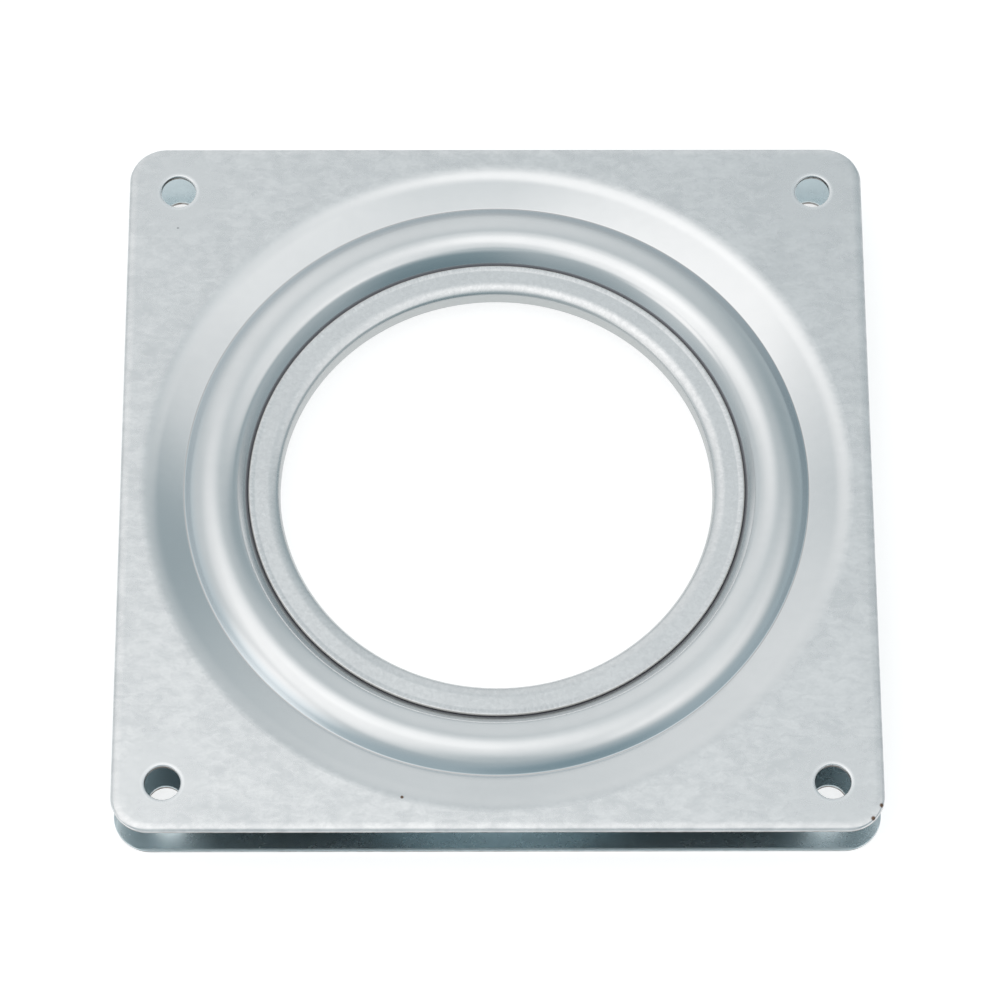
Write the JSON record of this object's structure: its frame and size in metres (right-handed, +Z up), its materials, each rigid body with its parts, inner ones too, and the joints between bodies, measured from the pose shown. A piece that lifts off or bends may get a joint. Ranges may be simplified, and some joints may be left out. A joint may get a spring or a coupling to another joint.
{
  "type": "lazy susan bearing",
  "caption": "Square low-profile turntable bearing: two pressed steel plates that turn on loose balls, held by a clinched ring around an open centre.",
  "frame": {"origin": "centre of the lower plate's mounting face, on the turning axis", "axes": "+Z up along the turning axis, X and Y along the lower plate's sides"},
  "size_m": [0.1016, 0.1016, 0.0083],
  "materials": {
    "plate_steel": "galvanised, fine spangle",
    "ring_steel": "galvanised, drawn",
    "ball_steel": "polished"
  },
  "bodies": {
    "lower_plate": {"lower_plate": "plate_steel"},
    "upper_plate": {"upper_plate": "plate_steel"},
    "ball_set": {"ball_01": "ball_steel", "ball_02": "ball_steel", "ball_03": "ball_steel", "ball_04": "ball_steel", "ball_05": "ball_steel", "ball_06": "ball_steel", "ball_07": "ball_steel", "ball_08": "ball_steel", "ball_09": "ball_steel", "ball_10": "ball_steel", "ball_11": "ball_steel", "ball_12": "ball_steel", "ball_13": "ball_steel", "ball_14": "ball_steel", "ball_15": "ball_steel", "ball_16": "ball_steel", "ball_17": "ball_steel", "ball_18": "ball_steel", "ball_19": "ball_steel", "ball_20": "ball_steel", "ball_21": "ball_steel", "ball_22": "ball_steel", "ball_23": "ball_steel", "ball_24": "ball_steel", "ball_25": "ball_steel", "ball_26": "ball_steel", "ball_27": "ball_steel", "ball_28": "ball_steel", "ball_29": "ball_steel", "ball_30": "ball_steel"},
    "clinch_ring": {"clinch_ring": "ring_steel"}
  },
  "joints": [
    {"name": "table_turn", "type": "hinge", "parent": "lower_plate", "child": "upper_plate", "pos_m": [0, 0, 0.00415], "axis": [0, 0, 1], "continuous": true},
    {"name": "ball_orbit", "type": "hinge", "parent": "lower_plate", "child": "ball_set", "pos_m": [0, 0, 0.00415], "axis": [0, 0, 1], "continuous": true},
    {"name": "ring_turn", "type": "hinge", "parent": "lower_plate", "child": "clinch_ring", "pos_m": [0, 0, 0.00415], "axis": [0, 0, 1], "continuous": true}
  ],
  "couplings": [
    {"joint": "ball_orbit", "follows": "table_turn", "ratio": 0.5}
  ]
}
